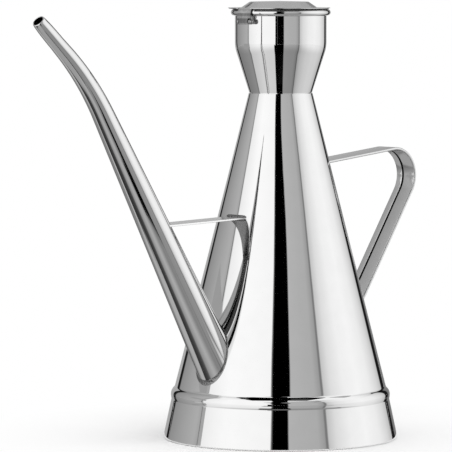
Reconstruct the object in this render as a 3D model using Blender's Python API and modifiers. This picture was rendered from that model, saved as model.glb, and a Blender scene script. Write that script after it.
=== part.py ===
"""Oil cruet of polished stainless steel sheet.

A cone of sheet stands on a flared foot ring and carries a short funnel neck with a rolled rim.
A stamped lid turns on a pin beside the rim. A long tapered spout, steadied by a flat brace, leaves
the cone near its foot, and a folded strap handle sits opposite.

Metres, +Z up. The origin is on the body's axis at the surface the cruet stands on. The spout points
along -X, the handle along +X, and the hinge pin lies along Y above the spout.
"""

import math

import bmesh
import bpy
from mathutils import Matrix, Vector

# Sheet and clearances
SHEET = 0.0007
SEAM_GAP = 0.0003
OVERRUN = 0.004
WELD_DISTANCE = 0.000002

# Cone
CONE_FOOT_RADIUS = 0.0478
CONE_TOP_RADIUS = 0.01437
CONE_HEIGHT = 0.1327

# Foot ring
RING_HEIGHT = 0.0229
SHOULDER_STEP = 0.0003
SHOULDER_LEDGE = 0.0010
BEAD_BULGE = 0.00175
BEAD_RISE = 0.0027
BEAD_DROP = 0.0028
BEAD_FOOT_DRAW = 0.00036
CREASE_DEPTH = 0.0002
CREASE_HEIGHT = 0.0005
SKIRT_FLARE = 0.0039
FOOT_CORNER_RADIUS = 0.0006
HEM_WIDTH = 0.0030

# Base plate
BASE_SHEET = 0.0008

# Neck funnel
SLEEVE_LENGTH = 0.0050
FUNNEL_FOOT_STEP = 0.0002
FUNNEL_SLOPE_HEIGHT = 0.0175
FUNNEL_BEND_HEIGHT = 0.0055
FUNNEL_HEIGHT = 0.0357
MOUTH_RADIUS = 0.0206
RIM_BEAD_RADIUS = 0.00127

# Lid
LID_SHEET = 0.00055
LID_OFFSET = 0.0010
FLANGE_RADIUS = 0.0230
DOME_FOOT_RADIUS = 0.0172
PLATEAU_RADIUS = 0.0132
DOME_HEIGHT = 0.0030
CROWN_RISE = 0.0003
DOME_FOOT_FILLET = 0.0008
PLATEAU_FILLET = 0.0014

# Hinge
PIN_RADIUS = 0.00045
PIN_CLEARANCE = 0.00025
TAB_WIDTH = 0.0083
TAB_THINNING = 0.00008
TAB_ROOT = 0.0030
TAB_RELIEF = 0.00035
KNUCKLE_WIDTH = 0.0056
KNUCKLE_WALL_GAP = 0.00068
KNUCKLE_DEPTH = 0.0037
KNUCKLE_TURN = math.radians(290)
EAR_SIDE_GAP = 0.0003
EAR_THICKNESS = 0.00105
EAR_RADIUS = 0.00120
EAR_STEM_HEIGHT = 0.0021
EAR_STEM_REACH = 0.00015
PIN_HEAD_RADIUS = 0.00115
PIN_HEAD_HEIGHT = 0.0009
PIN_HEAD_GAP = 0.0002

# Spout
SPOUT_SHEET = 0.0005
SPOUT_FOOT_HEIGHT = 0.0413
SPOUT_FOOT_RADIUS = 0.00928
SPOUT_LOWER_ANGLE = math.radians(30.7)
SPOUT_UPPER_ANGLE = math.radians(47.4)
SPOUT_LOWER_LENGTH = 0.1251
SPOUT_BEND_RADIUS = 0.1220
SPOUT_UPPER_LENGTH = 0.0059
SPOUT_NOSE_LENGTH = 0.0140
SPOUT_NOSE_DRAW = 0.00075
SPOUT_TIP_RADIUS = 0.0027
SPOUT_LIP = 0.00035
SPOUT_WELD_WIDTH = 0.0009
SPOUT_WELD_HEIGHT = 0.0009

# Brace
BRACE_HEIGHT = 0.1008
BRACE_SLOPE = math.radians(1.5)
BRACE_WIDTH = 0.0120
BRACE_SHEET = 0.0008

# Handle
HANDLE_TOP_HEIGHT = 0.12375
HANDLE_RISE = math.radians(6.0)
HANDLE_REACH = 0.0460
HANDLE_BEND_RADIUS = 0.01275
HANDLE_RETURN_ANGLE = math.radians(33.5)
HANDLE_WIDTH = 0.0118
HANDLE_THICKNESS = 0.0013
HANDLE_SEAM_WIDTH = 0.0007
HANDLE_SEAM_DEPTH = 0.0006
HANDLE_SEAM_OFFSET = 0.00165
HANDLE_SEAM_END = 0.0195

# Facets round a circle, and steps along an arc
AROUND_BODY = 64
AROUND_NECK = 48
AROUND_SPOUT_RESOLUTION = 11
AROUND_PIN = 20
ARC_STEPS = 5
BEND_STEPS = 14


def clear_scene():
    for old in list(bpy.data.objects):
        bpy.data.objects.remove(old, do_unlink=True)
    for old in list(bpy.data.collections):
        bpy.data.collections.remove(old)


def new_collection(name, hidden=False):
    made = bpy.data.collections.new(name)
    made.hide_render = hidden
    bpy.context.scene.collection.children.link(made)
    return made


def steel(name, tone, roughness):
    material = bpy.data.materials.new(name)
    material.use_nodes = True
    shader = material.node_tree.nodes["Principled BSDF"]
    shader.inputs["Base Color"].default_value = (tone, tone, tone, 1)
    shader.inputs["Metallic"].default_value = 1
    shader.inputs["Roughness"].default_value = roughness
    return material


def place(obj, collection, material=None):
    for holder in list(obj.users_collection):
        holder.objects.unlink(obj)
    collection.objects.link(obj)
    if material:
        obj.data.materials.clear()
        obj.data.materials.append(material)
    return obj


def hide_cutter(obj):
    obj.hide_render = True
    obj.display_type = "WIRE"
    return place(obj, CUTTERS)


def combine(obj, other, operation):
    """Adds an exact Boolean of another mesh to an object."""
    modifier = obj.modifiers.new(operation.title(), "BOOLEAN")
    modifier.operation = operation
    modifier.solver = "EXACT"
    modifier.object = other
    return modifier


# Outlines in the plane of a profile: x outwards, z up

def arc(centre, radius, start, end, steps):
    """Points from one angle to another, in radians, anticlockwise when end is larger."""
    angles = [start + (end - start) * step / steps for step in range(steps + 1)]
    return [(centre[0] + radius * math.cos(a), centre[1] + radius * math.sin(a)) for a in angles]


def bulge(widest, draw, height, steps):
    """An arc whose flank stands upright at its widest point and draws in by the time it has gone height."""
    radius = (draw * draw + height * height) / (2 * draw)
    centre = (widest[0] - radius, widest[1])
    return arc(centre, radius, 0, math.asin(height / radius), steps)


def fillet(before, corner, after, radius, steps):
    """The arc that rounds the corner between two straight lines."""
    towards_start = (Vector(before) - Vector(corner)).normalized()
    towards_end = (Vector(after) - Vector(corner)).normalized()
    half = towards_start.angle(towards_end) / 2
    middle = (towards_start + towards_end).normalized()
    centre = Vector(corner) + middle * (radius / math.sin(half))
    first = Vector(corner) + towards_start * (radius / math.tan(half)) - centre
    last = Vector(corner) + towards_end * (radius / math.tan(half)) - centre
    turn = first.angle_signed(last)
    start = math.atan2(first.y, first.x)
    return arc(centre, radius, start, start - turn, steps)


def offset(path, distance):
    """The path moved sideways to the right of its heading, with mitred corners."""
    moved = []
    for index, point in enumerate(path):
        near = [Vector(path[i + 1]) - Vector(path[i]) for i in (index - 1, index) if 0 <= i < len(path) - 1]
        rights = [Vector((step.y, -step.x)).normalized() for step in near]
        middle = sum(rights, Vector((0, 0)))
        scale = distance * len(rights) / middle.length_squared
        moved.append((point[0] + middle.x * scale, point[1] + middle.y * scale))
    return moved


def sheet_outline(path, thickness):
    """The closed outline of a sheet that lies to the right of a path of its outer face."""
    return path + offset(path, thickness)[::-1]


def bent_path(start, heading, first, radius, turn, last, steps):
    """A straight run, an arc and a straight run, as points with the length travelled to each."""
    points = [(start[0], start[1], 0)]
    x = start[0] + first * math.cos(heading)
    z = start[1] + first * math.sin(heading)
    points.append((x, z, first))
    side = math.copysign(1, turn)
    centre_x = x - side * radius * math.sin(heading)
    centre_z = z + side * radius * math.cos(heading)
    for step in range(1, steps + 1):
        angle = heading + turn * step / steps
        x = centre_x + side * radius * math.sin(angle)
        z = centre_z - side * radius * math.cos(angle)
        points.append((x, z, first + radius * abs(turn) * step / steps))
    x += last * math.cos(heading + turn)
    z += last * math.sin(heading + turn)
    points.append((x, z, points[-1][2] + last))
    return points


# Solids from outlines

def turned(name, outline, around, closed=True):
    """A profile turned round the Z axis. It runs down its outer side."""
    mesh = bpy.data.meshes.new(name)
    count = len(outline)
    edges = [(i, (i + 1) % count) for i in range(count if closed else count - 1)]
    mesh.from_pydata([(x, 0, z) for x, z in outline], edges, [])
    obj = bpy.data.objects.new(name, mesh)
    screw = obj.modifiers.new("Turn", "SCREW")
    screw.axis = "Z"
    screw.angle = math.tau
    screw.steps = around
    screw.render_steps = around
    screw.use_merge_vertices = True
    screw.merge_threshold = WELD_DISTANCE
    screw.use_smooth_shade = True
    return obj


def mesh_of(curve_object):
    """A curve made one closed mesh, with its caps welded on."""
    bpy.context.scene.collection.objects.link(curve_object)
    bpy.context.view_layer.update()
    graph = bpy.context.evaluated_depsgraph_get()
    mesh = bpy.data.meshes.new_from_object(curve_object.evaluated_get(graph))
    welded = bmesh.new()
    welded.from_mesh(mesh)
    bmesh.ops.remove_doubles(welded, verts=welded.verts, dist=WELD_DISTANCE)
    bmesh.ops.recalc_face_normals(welded, faces=welded.faces)
    welded.to_mesh(mesh)
    welded.free()
    name = curve_object.name
    matrix = curve_object.matrix_world.copy()
    bpy.data.objects.remove(curve_object, do_unlink=True)
    solid = bpy.data.objects.new(name, mesh)
    solid.matrix_world = matrix
    return solid


def flat_curve(name, outlines, half_thickness):
    """A flat outline in the XZ plane, with any holes as further outlines, and its thickness along Y."""
    curve = bpy.data.curves.new(name, "CURVE")
    curve.dimensions = "2D"
    curve.fill_mode = "BOTH"
    curve.extrude = half_thickness
    for outline in outlines:
        spline = curve.splines.new("POLY")
        spline.points.add(len(outline) - 1)
        spline.use_cyclic_u = True
        for point, (x, z) in zip(spline.points, outline):
            point.co = (x, z, 0, 1)
    obj = bpy.data.objects.new(name, curve)
    obj.rotation_euler = (math.radians(90), 0, 0)
    return obj


def box(name, size):
    bpy.ops.mesh.primitive_cube_add(size=1)
    made = bpy.context.object
    made.name = name
    made.data.transform(Matrix.Diagonal((*size, 1)))
    return made


def tube(name, stations, resolution):
    """A round tube along (x, z, radius) stations in the XZ plane."""
    curve = bpy.data.curves.new(name, "CURVE")
    curve.dimensions = "3D"
    curve.bevel_depth = 1
    curve.bevel_resolution = resolution
    curve.use_fill_caps = True
    spline = curve.splines.new("POLY")
    spline.points.add(len(stations) - 1)
    for point, (x, z, radius) in zip(spline.points, stations):
        point.co = (x, 0, z, 1)
        point.radius = radius
    return mesh_of(bpy.data.objects.new(name, curve))


# Places that several pieces share

CONE_FOOT_Z = RING_HEIGHT + SEAM_GAP
CONE_TOP_Z = CONE_FOOT_Z + CONE_HEIGHT
CONE_TAPER = (CONE_FOOT_RADIUS - CONE_TOP_RADIUS) / CONE_HEIGHT
CONE_ANGLE = math.atan(CONE_TAPER)


def cone_radius(z, stand_off=0):
    """The radius of the cone's outer face at a height, moved out square to its wall."""
    return CONE_FOOT_RADIUS - (z - CONE_FOOT_Z) * CONE_TAPER + stand_off / math.cos(CONE_ANGLE)


def cone_cutter(name, stand_off):
    """A solid that fills the cone, standing off its outer face, and runs past both its ends."""
    top = CONE_TOP_Z + OVERRUN
    outline = [(0, top), (cone_radius(top, stand_off), top), (cone_radius(0, stand_off), 0), (0, 0)]
    return hide_cutter(turned(name, outline, AROUND_BODY, closed=False))


# Foot ring: a flared skirt with a bead over it, turned in at its shoulder and hemmed at its foot

BEAD_Z = RING_HEIGHT - BEAD_RISE
BEAD_RADIUS = CONE_FOOT_RADIUS + BEAD_BULGE
CREASE_Z = BEAD_Z - BEAD_DROP
SKIRT_TOP_RADIUS = BEAD_RADIUS - BEAD_FOOT_DRAW
FOOT_RADIUS = SKIRT_TOP_RADIUS + SKIRT_FLARE


def foot_ring():
    ledge = (CONE_FOOT_RADIUS - SHEET - SHOULDER_LEDGE, RING_HEIGHT)
    upper = bulge((BEAD_RADIUS, BEAD_Z), BEAD_BULGE - SHOULDER_STEP, BEAD_RISE, ARC_STEPS)
    lower = bulge((BEAD_RADIUS, -BEAD_Z), BEAD_FOOT_DRAW, BEAD_DROP, ARC_STEPS // 2)
    crease = (SKIRT_TOP_RADIUS - CREASE_DEPTH, CREASE_Z - CREASE_HEIGHT / 2)
    skirt_top = (SKIRT_TOP_RADIUS, CREASE_Z - CREASE_HEIGHT)
    foot = (FOOT_RADIUS, 0)
    hem_end = (FOOT_RADIUS - HEM_WIDTH, 0)
    corner = fillet(skirt_top, foot, hem_end, FOOT_CORNER_RADIUS, ARC_STEPS)
    path = [ledge] + upper[::-1] + [(x, -z) for x, z in lower[1:]] + [crease, skirt_top] + corner + [hem_end]
    return turned("foot_ring", sheet_outline(path, SHEET), AROUND_BODY)


# Base plate: a disc that lies on the hem and closes the vessel

def base_plate():
    low = SHEET + SEAM_GAP
    high = low + BASE_SHEET
    skirt_taper = SKIRT_FLARE / (CREASE_Z - CREASE_HEIGHT)
    wall = SHEET / math.cos(math.atan(skirt_taper))
    radius = FOOT_RADIUS - high * skirt_taper - wall - SEAM_GAP
    return turned("base_plate", [(0, high), (radius, high), (radius, low), (0, low)], AROUND_BODY, closed=False)


# Cone: the conical wall, with the hole that opens into the spout

def body_cone():
    path = [(CONE_TOP_RADIUS, CONE_TOP_Z), (CONE_FOOT_RADIUS, CONE_FOOT_Z)]
    wall = SHEET / math.cos(CONE_ANGLE)
    inner = [(x - wall, z) for x, z in path]
    return turned("body_cone", path + inner[::-1], AROUND_BODY)


# Neck funnel: a sleeve inside the cone's top, a short funnel, and a rim rolled outwards round a wire

NECK_FOOT_Z = CONE_TOP_Z + SEAM_GAP
RIM_Z = NECK_FOOT_Z + FUNNEL_HEIGHT
RIM_CENTRE = (MOUTH_RADIUS - SHEET + RIM_BEAD_RADIUS, RIM_Z)
SLEEVE_RADIUS = CONE_TOP_RADIUS - SHEET / math.cos(CONE_ANGLE) - SEAM_GAP


def neck_funnel():
    foot = (CONE_TOP_RADIUS - FUNNEL_FOOT_STEP, NECK_FOOT_Z)
    bend_top = (MOUTH_RADIUS, NECK_FOOT_Z + FUNNEL_SLOPE_HEIGHT + FUNNEL_BEND_HEIGHT)
    run = bend_top[0] - foot[0]
    slope = run / (FUNNEL_SLOPE_HEIGHT + FUNNEL_BEND_HEIGHT / 2)
    corner = (MOUTH_RADIUS, foot[1] + run / slope)
    tangent = FUNNEL_BEND_HEIGHT / 2
    radius = tangent / math.tan(math.atan(slope) / 2)
    shoulder = fillet(bend_top, corner, foot, radius, ARC_STEPS)
    under_rim = math.acos((MOUTH_RADIUS - RIM_CENTRE[0]) / RIM_BEAD_RADIUS)
    rim = arc(RIM_CENTRE, RIM_BEAD_RADIUS, math.pi, -under_rim, 3 * ARC_STEPS)
    sleeve_end = NECK_FOOT_Z - SEAM_GAP - SLEEVE_LENGTH
    sleeve = [(SLEEVE_RADIUS, NECK_FOOT_Z), (SLEEVE_RADIUS, sleeve_end), (SLEEVE_RADIUS - SHEET, sleeve_end)]
    shelf_z = NECK_FOOT_Z + SHEET
    wall = SHEET / math.cos(math.atan(slope))
    shelf = [(SLEEVE_RADIUS - SHEET, shelf_z), (foot[0] + SHEET * slope - wall, shelf_z)]
    bowl = offset(shoulder + [foot], SHEET)[:-1]
    return turned("neck_funnel", rim + shoulder + [foot] + sleeve + shelf + bowl[::-1], AROUND_NECK)


# Lid: a stamped disc with a shallow dome and a flat flange, and a tab curled round the hinge pin

FLANGE_TOP_Z = RIM_Z + RIM_BEAD_RADIUS + SEAM_GAP + LID_SHEET
TAB_SHEET = LID_SHEET - TAB_THINNING
KNUCKLE_RADIUS = PIN_RADIUS + PIN_CLEARANCE + TAB_SHEET
PIN_X = -(MOUTH_RADIUS + KNUCKLE_WALL_GAP + KNUCKLE_RADIUS)
PIN_Z = RIM_Z - KNUCKLE_DEPTH


def lid_tab():
    """The tab's sheet: along the flange, over the rim bead, down and once round the pin."""
    top = FLANGE_TOP_Z - TAB_THINNING / 2
    rim = (-RIM_CENTRE[0], RIM_CENTRE[1])
    bend_radius = top - rim[1]
    across = Vector((PIN_X - rim[0], PIN_Z - rim[1]))
    down = math.atan2(across.y, across.x) + math.tau
    lean = math.acos((bend_radius - KNUCKLE_RADIUS) / across.length)
    heading = down + math.pi / 2 - lean
    root = (rim[0] + TAB_ROOT, top)
    bend = arc(rim, bend_radius, math.pi / 2, heading - math.pi / 2, ARC_STEPS)
    start = heading - math.pi / 2
    curl = arc((PIN_X, PIN_Z), KNUCKLE_RADIUS, start, start + KNUCKLE_TURN, 3 * ARC_STEPS)
    path = [root] + bend + curl
    outline = path + offset(path, -TAB_SHEET)[::-1]
    tab = mesh_of(flat_curve("lid_tab", [outline], TAB_WIDTH / 2))
    for side in (-1, 1):
        combine(tab, knuckle_end(side), "DIFFERENCE")
    return tab


def knuckle_end(side):
    """A box over one end of the curl, which leaves room for an ear beside a narrower knuckle."""
    high = PIN_Z + EAR_RADIUS + EAR_SIDE_GAP
    low = PIN_Z - KNUCKLE_RADIUS - OVERRUN
    width = TAB_WIDTH
    made = box("knuckle_end", (OVERRUN * 2, width, high - low))
    made.location = (PIN_X, side * (KNUCKLE_WIDTH + width) / 2, (high + low) / 2)
    return hide_cutter(made)


def lid_disc():
    foot_z = FLANGE_TOP_Z
    plateau_z = foot_z + DOME_HEIGHT
    crown = (0, plateau_z + CROWN_RISE)
    plateau = (PLATEAU_RADIUS, plateau_z)
    foot = (DOME_FOOT_RADIUS, foot_z)
    edge = (FLANGE_RADIUS, foot_z)
    over = fillet(crown, plateau, foot, PLATEAU_FILLET, ARC_STEPS // 2)
    under = fillet(plateau, foot, edge, DOME_FOOT_FILLET, ARC_STEPS // 2)
    path = [crown] + over + under + [edge]
    inner = offset(path, LID_SHEET)
    inner[0] = (0, crown[1] - LID_SHEET)
    disc = turned("lid", path + inner[::-1], AROUND_NECK, closed=False)
    disc.location = (-LID_OFFSET, 0, 0)
    return disc


def lid():
    made = lid_disc()
    relief = box("tab_relief", (FLANGE_RADIUS, TAB_WIDTH + 2 * TAB_RELIEF, OVERRUN))
    relief.location = (-RIM_CENTRE[0] - FLANGE_RADIUS / 2, 0, FLANGE_TOP_Z)
    combine(made, hide_cutter(relief), "DIFFERENCE")
    combine(made, hide_cutter(lid_tab()), "UNION")
    return made


# Hinge ears and pin: two ears under the rim bead hold the pin that the lid's knuckle turns on

EAR_INNER_Y = KNUCKLE_WIDTH / 2 + EAR_SIDE_GAP
EAR_OUTER_Y = EAR_INNER_Y + EAR_THICKNESS


def hinge_ear(name, side):
    wall_x = -math.sqrt((MOUTH_RADIUS + SEAM_GAP) ** 2 - EAR_INNER_Y ** 2)
    stem_x = PIN_X - EAR_STEM_REACH
    top = RIM_Z - RIM_BEAD_RADIUS - SEAM_GAP
    leaves = math.acos(-EAR_STEM_REACH / EAR_RADIUS)
    eye = arc((PIN_X, PIN_Z), EAR_RADIUS, leaves, math.tau, 3 * ARC_STEPS)
    outline = [(stem_x, top)] + eye + [(wall_x, top - EAR_STEM_HEIGHT), (wall_x, top)]
    hole = arc((PIN_X, PIN_Z), PIN_RADIUS + PIN_CLEARANCE, 0, math.tau, AROUND_PIN)[:-1]
    ear = flat_curve(name, [outline, hole], EAR_THICKNESS / 2)
    ear.location = (0, side * (EAR_INNER_Y + EAR_OUTER_Y) / 2, 0)
    return mesh_of(ear)


def hinge_pin():
    seat = EAR_OUTER_Y + PIN_HEAD_GAP
    radius = (PIN_HEAD_RADIUS ** 2 + PIN_HEAD_HEIGHT ** 2) / (2 * PIN_HEAD_HEIGHT)
    reach = math.asin(PIN_HEAD_RADIUS / radius)
    centre = (0, seat + PIN_HEAD_HEIGHT - radius)
    dome = arc(centre, radius, math.pi / 2, math.pi / 2 - reach, ARC_STEPS)
    half = dome + [(PIN_RADIUS, seat)]
    made = turned("hinge_pin", half + [(x, -z) for x, z in half[::-1]], AROUND_PIN, closed=False)
    made.location = (PIN_X, 0, PIN_Z)
    made.rotation_euler = (math.radians(-90), 0, 0)
    return made


# Spout: a tapered tube with one bend, drawn in at its tip, and a weld round its foot

def spout_stations(inset, lip, overrun, widen=0):
    """Stations of the spout's tube, from inside the cone to its tip.

    inset is how far the surface lies inside the outer one, lip the same at the tip, and overrun how
    far the tube goes on past the tip.
    """
    inside = 2 * SPOUT_FOOT_RADIUS
    heading = math.pi / 2 + SPOUT_LOWER_ANGLE
    foot_x = -cone_radius(SPOUT_FOOT_HEIGHT)
    start = (foot_x - inside * math.cos(heading), SPOUT_FOOT_HEIGHT - inside * math.sin(heading))
    turn = SPOUT_UPPER_ANGLE - SPOUT_LOWER_ANGLE
    lower = inside + SPOUT_LOWER_LENGTH
    path = bent_path(start, heading, lower, SPOUT_BEND_RADIUS, turn, SPOUT_UPPER_LENGTH, BEND_STEPS)
    nose_start = path[-1]
    nose_radius = SPOUT_TIP_RADIUS + SPOUT_NOSE_DRAW
    taper = (SPOUT_FOOT_RADIUS - nose_radius) / (nose_start[2] - inside)
    stations = [(x, z, nose_radius + (nose_start[2] - s) * taper - inset + widen) for x, z, s in path]
    cos, sin = math.cos(heading + turn), math.sin(heading + turn)
    draw = SPOUT_NOSE_DRAW - inset + lip
    for step in range(1, ARC_STEPS + 1):
        angle = math.pi / 2 * step / ARC_STEPS
        ahead = SPOUT_NOSE_LENGTH * math.sin(angle)
        radius = SPOUT_TIP_RADIUS - lip + draw * math.cos(angle) + widen
        stations.append((nose_start[0] + ahead * cos, nose_start[1] + ahead * sin, radius))
    if overrun:
        ahead = SPOUT_NOSE_LENGTH + overrun
        stations.append((nose_start[0] + ahead * cos, nose_start[1] + ahead * sin, stations[-1][2]))
    return stations


def spout():
    made = tube("spout", spout_stations(0, 0, 0), AROUND_SPOUT_RESOLUTION)
    weld = tube("spout_weld", spout_stations(0, 0, 0, SPOUT_WELD_WIDTH)[:2], AROUND_SPOUT_RESOLUTION)
    combine(weld, cone_cutter("weld_outer_face", SEAM_GAP + SPOUT_WELD_HEIGHT), "INTERSECT")
    bore = tube("spout_bore", spout_stations(SPOUT_SHEET, SPOUT_LIP, OVERRUN), AROUND_SPOUT_RESOLUTION)
    combine(made, hide_cutter(weld), "UNION")
    combine(made, cone_cutter("spout_seat", SEAM_GAP), "DIFFERENCE")
    combine(made, hide_cutter(bore), "DIFFERENCE")
    return made


def cut_spout_hole(cone):
    """The hole through the cone's wall, the size of the spout's bore."""
    stations = spout_stations(SPOUT_SHEET, SPOUT_LIP, 0)[:2]
    combine(cone, hide_cutter(tube("spout_hole", stations, AROUND_SPOUT_RESOLUTION)), "DIFFERENCE")


# Brace: a flat plate between the spout and the cone, cut to fit both

def spout_brace():
    cone_end = -cone_radius(BRACE_HEIGHT)
    drop = SPOUT_FOOT_HEIGHT - BRACE_HEIGHT
    spout_end = -cone_radius(SPOUT_FOOT_HEIGHT) + drop * math.tan(SPOUT_LOWER_ANGLE)
    near = cone_end + OVERRUN
    length = near - spout_end
    made = box("spout_brace", (length, BRACE_WIDTH, BRACE_SHEET))
    middle = (near + spout_end) / 2
    made.location = (middle, 0, BRACE_HEIGHT + (middle - cone_end) * math.tan(BRACE_SLOPE))
    made.rotation_euler = (0, -BRACE_SLOPE, 0)
    combine(made, cone_cutter("brace_cone_seat", SEAM_GAP), "DIFFERENCE")
    surround = tube("brace_spout_seat", spout_stations(0, 0, 0, SEAM_GAP), AROUND_SPOUT_RESOLUTION)
    combine(made, hide_cutter(surround), "DIFFERENCE")
    return made


# Handle: a strap folded from sheet, so that its hems meet in a seam along the inner side

def handle_path(short_of_cone=0):
    """The middle of the strap, from inside the cone, out, round the bend and back to the cone."""
    start_x = cone_radius(HANDLE_TOP_HEIGHT) - OVERRUN
    start = (start_x, HANDLE_TOP_HEIGHT - OVERRUN * math.tan(HANDLE_RISE))
    first = HANDLE_REACH + OVERRUN
    turn = -(HANDLE_RISE + math.pi / 2 + HANDLE_RETURN_ANGLE)
    bend_end = bent_path(start, HANDLE_RISE, first, HANDLE_BEND_RADIUS, turn, 0, BEND_STEPS)[-1]
    gap = bend_end[0] - cone_radius(bend_end[1])
    closing = math.sin(HANDLE_RETURN_ANGLE) + CONE_TAPER * math.cos(HANDLE_RETURN_ANGLE)
    last = gap / closing + (-short_of_cone if short_of_cone else 2 * OVERRUN)
    return bent_path(start, HANDLE_RISE, first, HANDLE_BEND_RADIUS, turn, last, BEND_STEPS)


def swept(name, section, path):
    """A flat section carried along a path in the XZ plane.

    The section's points are (towards the inner side of the bend, across along Y).
    """
    outline = bpy.data.curves.new(name + "_section", "CURVE")
    outline.dimensions = "2D"
    loop = outline.splines.new("POLY")
    loop.points.add(len(section) - 1)
    loop.use_cyclic_u = True
    for point, (inwards, across) in zip(loop.points, section):
        point.co = (inwards, across, 0, 1)
    section_object = bpy.data.objects.new(name + "_section", outline)
    hide_cutter(section_object)
    curve = bpy.data.curves.new(name, "CURVE")
    curve.dimensions = "2D"
    curve.bevel_mode = "OBJECT"
    curve.bevel_object = section_object
    curve.use_fill_caps = True
    spline = curve.splines.new("POLY")
    spline.points.add(len(path) - 1)
    for point, (x, z, _) in zip(spline.points, path):
        point.co = (x, z, 0, 1)
    strip = bpy.data.objects.new(name, curve)
    strip.rotation_euler = (math.radians(90), 0, 0)
    return mesh_of(strip)


def handle_strap():
    half = HANDLE_THICKNESS / 2
    fold_y = HANDLE_WIDTH / 2 - half
    near = arc((0, -fold_y), half, math.pi, math.tau, ARC_STEPS)
    far = arc((0, fold_y), half, 0, math.pi, ARC_STEPS)
    made = swept("handle_strap", near + far, handle_path())
    lips = (HANDLE_SEAM_OFFSET - HANDLE_SEAM_WIDTH / 2, HANDLE_SEAM_OFFSET + HANDLE_SEAM_WIDTH / 2)
    floor = half - HANDLE_SEAM_DEPTH
    section = [(floor, lips[0]), (HANDLE_THICKNESS, lips[0]), (HANDLE_THICKNESS, lips[1]), (floor, lips[1])]
    seam = swept("handle_seam", section, handle_path(HANDLE_SEAM_END))
    combine(made, cone_cutter("handle_seat", SEAM_GAP), "DIFFERENCE")
    combine(made, hide_cutter(seam), "DIFFERENCE")
    return made


clear_scene()
CRUET = new_collection("Oil cruet")
CUTTERS = new_collection("Cutters", hidden=True)

place(foot_ring(), CRUET, steel("foot ring steel", 0.80, 0.12))
place(base_plate(), CRUET, steel("base plate steel", 0.70, 0.30))
cone = place(body_cone(), CRUET, steel("cone steel", 0.82, 0.10))
cut_spout_hole(cone)
place(neck_funnel(), CRUET, steel("neck steel", 0.80, 0.12))
place(lid(), CRUET, steel("lid steel", 0.72, 0.25))
place(hinge_ear("hinge_ear_near", -1), CRUET, steel("near ear steel", 0.60, 0.30))
place(hinge_ear("hinge_ear_far", 1), CRUET, steel("far ear steel", 0.60, 0.30))
place(hinge_pin(), CRUET, steel("pin steel", 0.55, 0.30))
place(spout(), CRUET, steel("spout steel", 0.78, 0.16))
place(spout_brace(), CRUET, steel("brace steel", 0.75, 0.20))
place(handle_strap(), CRUET, steel("strap steel", 0.75, 0.22))
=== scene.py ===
"""Oil cruet of polished stainless steel sheet, finished and set up for a studio picture.

The pieces follow in the order in which the cruet is put together. Metres, +Z up, the spout along -X.
"""

from math import (acos, asin, atan, atan2, ceil, copysign, cos, hypot, pi, radians, sin, sqrt,
                  tan, tau)

import bmesh
import bpy
from mathutils import Matrix, Vector


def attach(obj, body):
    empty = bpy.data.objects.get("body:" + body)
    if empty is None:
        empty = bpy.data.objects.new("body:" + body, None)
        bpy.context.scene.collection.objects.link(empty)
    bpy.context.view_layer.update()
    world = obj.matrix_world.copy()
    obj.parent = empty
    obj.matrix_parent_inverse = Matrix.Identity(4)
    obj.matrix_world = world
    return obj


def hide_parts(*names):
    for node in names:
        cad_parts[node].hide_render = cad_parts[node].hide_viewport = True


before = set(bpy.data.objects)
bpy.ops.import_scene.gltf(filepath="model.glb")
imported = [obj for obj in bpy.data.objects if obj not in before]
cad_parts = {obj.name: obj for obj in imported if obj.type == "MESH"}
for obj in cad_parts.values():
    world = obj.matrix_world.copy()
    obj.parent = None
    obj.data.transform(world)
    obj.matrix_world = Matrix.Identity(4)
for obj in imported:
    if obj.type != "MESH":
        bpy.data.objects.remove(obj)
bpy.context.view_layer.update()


# Foot ring
# The flared skirt that the cruet stands on, spun from steel sheet and polished bright. A bead runs
# round it above a fine crease, its shoulder turns in under the cone and its foot is hemmed inwards.

SHEET = 0.0007
CONE_FOOT_RADIUS = 0.0478
RING_HEIGHT = 0.0229
SHOULDER_STEP = 0.00039
SHOULDER_LEDGE = 0.0010
BEAD_BULGE = 0.00175
BEAD_RISE = 0.0031
BEAD_DROP = 0.0020
BEAD_FOOT_DRAW = 0.00026
CREASE_RADIUS = 0.0008
SKIRT_FLARE = 0.0038
FOOT_CORNER_RADIUS = 0.0006
HEM_WIDTH = 0.0030
AROUND = 256
ROW_SPACING = 0.004
RUN_END = 0.00015
WELD_DISTANCE = 0.000001
SHARP_ANGLE = radians(38)
SMUDGE_SCALE = 140.0
LINE_HEIGHT = 0.01


def arc(centre, radius, start, end, steps):
    """Points from one angle to another, anticlockwise when end is larger."""
    angles = [start + (end - start) * step / steps for step in range(steps + 1)]
    return [(centre[0] + radius * cos(a), centre[1] + radius * sin(a)) for a in angles]


def bulge(widest, draw, height, steps):
    """An arc that stands upright at its widest point and has drawn in when it has gone height."""
    radius = (draw * draw + height * height) / (2 * draw)
    return arc((widest[0] - radius, widest[1]), radius, 0, asin(height / radius), steps)


def fillet(before, corner, after, radius, steps):
    """The arc that rounds the corner between two straight lines."""
    towards_start = (Vector(before) - Vector(corner)).normalized()
    towards_end = (Vector(after) - Vector(corner)).normalized()
    half = towards_start.angle(towards_end) / 2
    centre = Vector(corner) + (towards_start + towards_end).normalized() * (radius / sin(half))
    first = Vector(corner) + towards_start * (radius / tan(half)) - centre
    last = Vector(corner) + towards_end * (radius / tan(half)) - centre
    start = atan2(first.y, first.x)
    return arc(centre, radius, start, start - first.angle_signed(last), steps)


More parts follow.
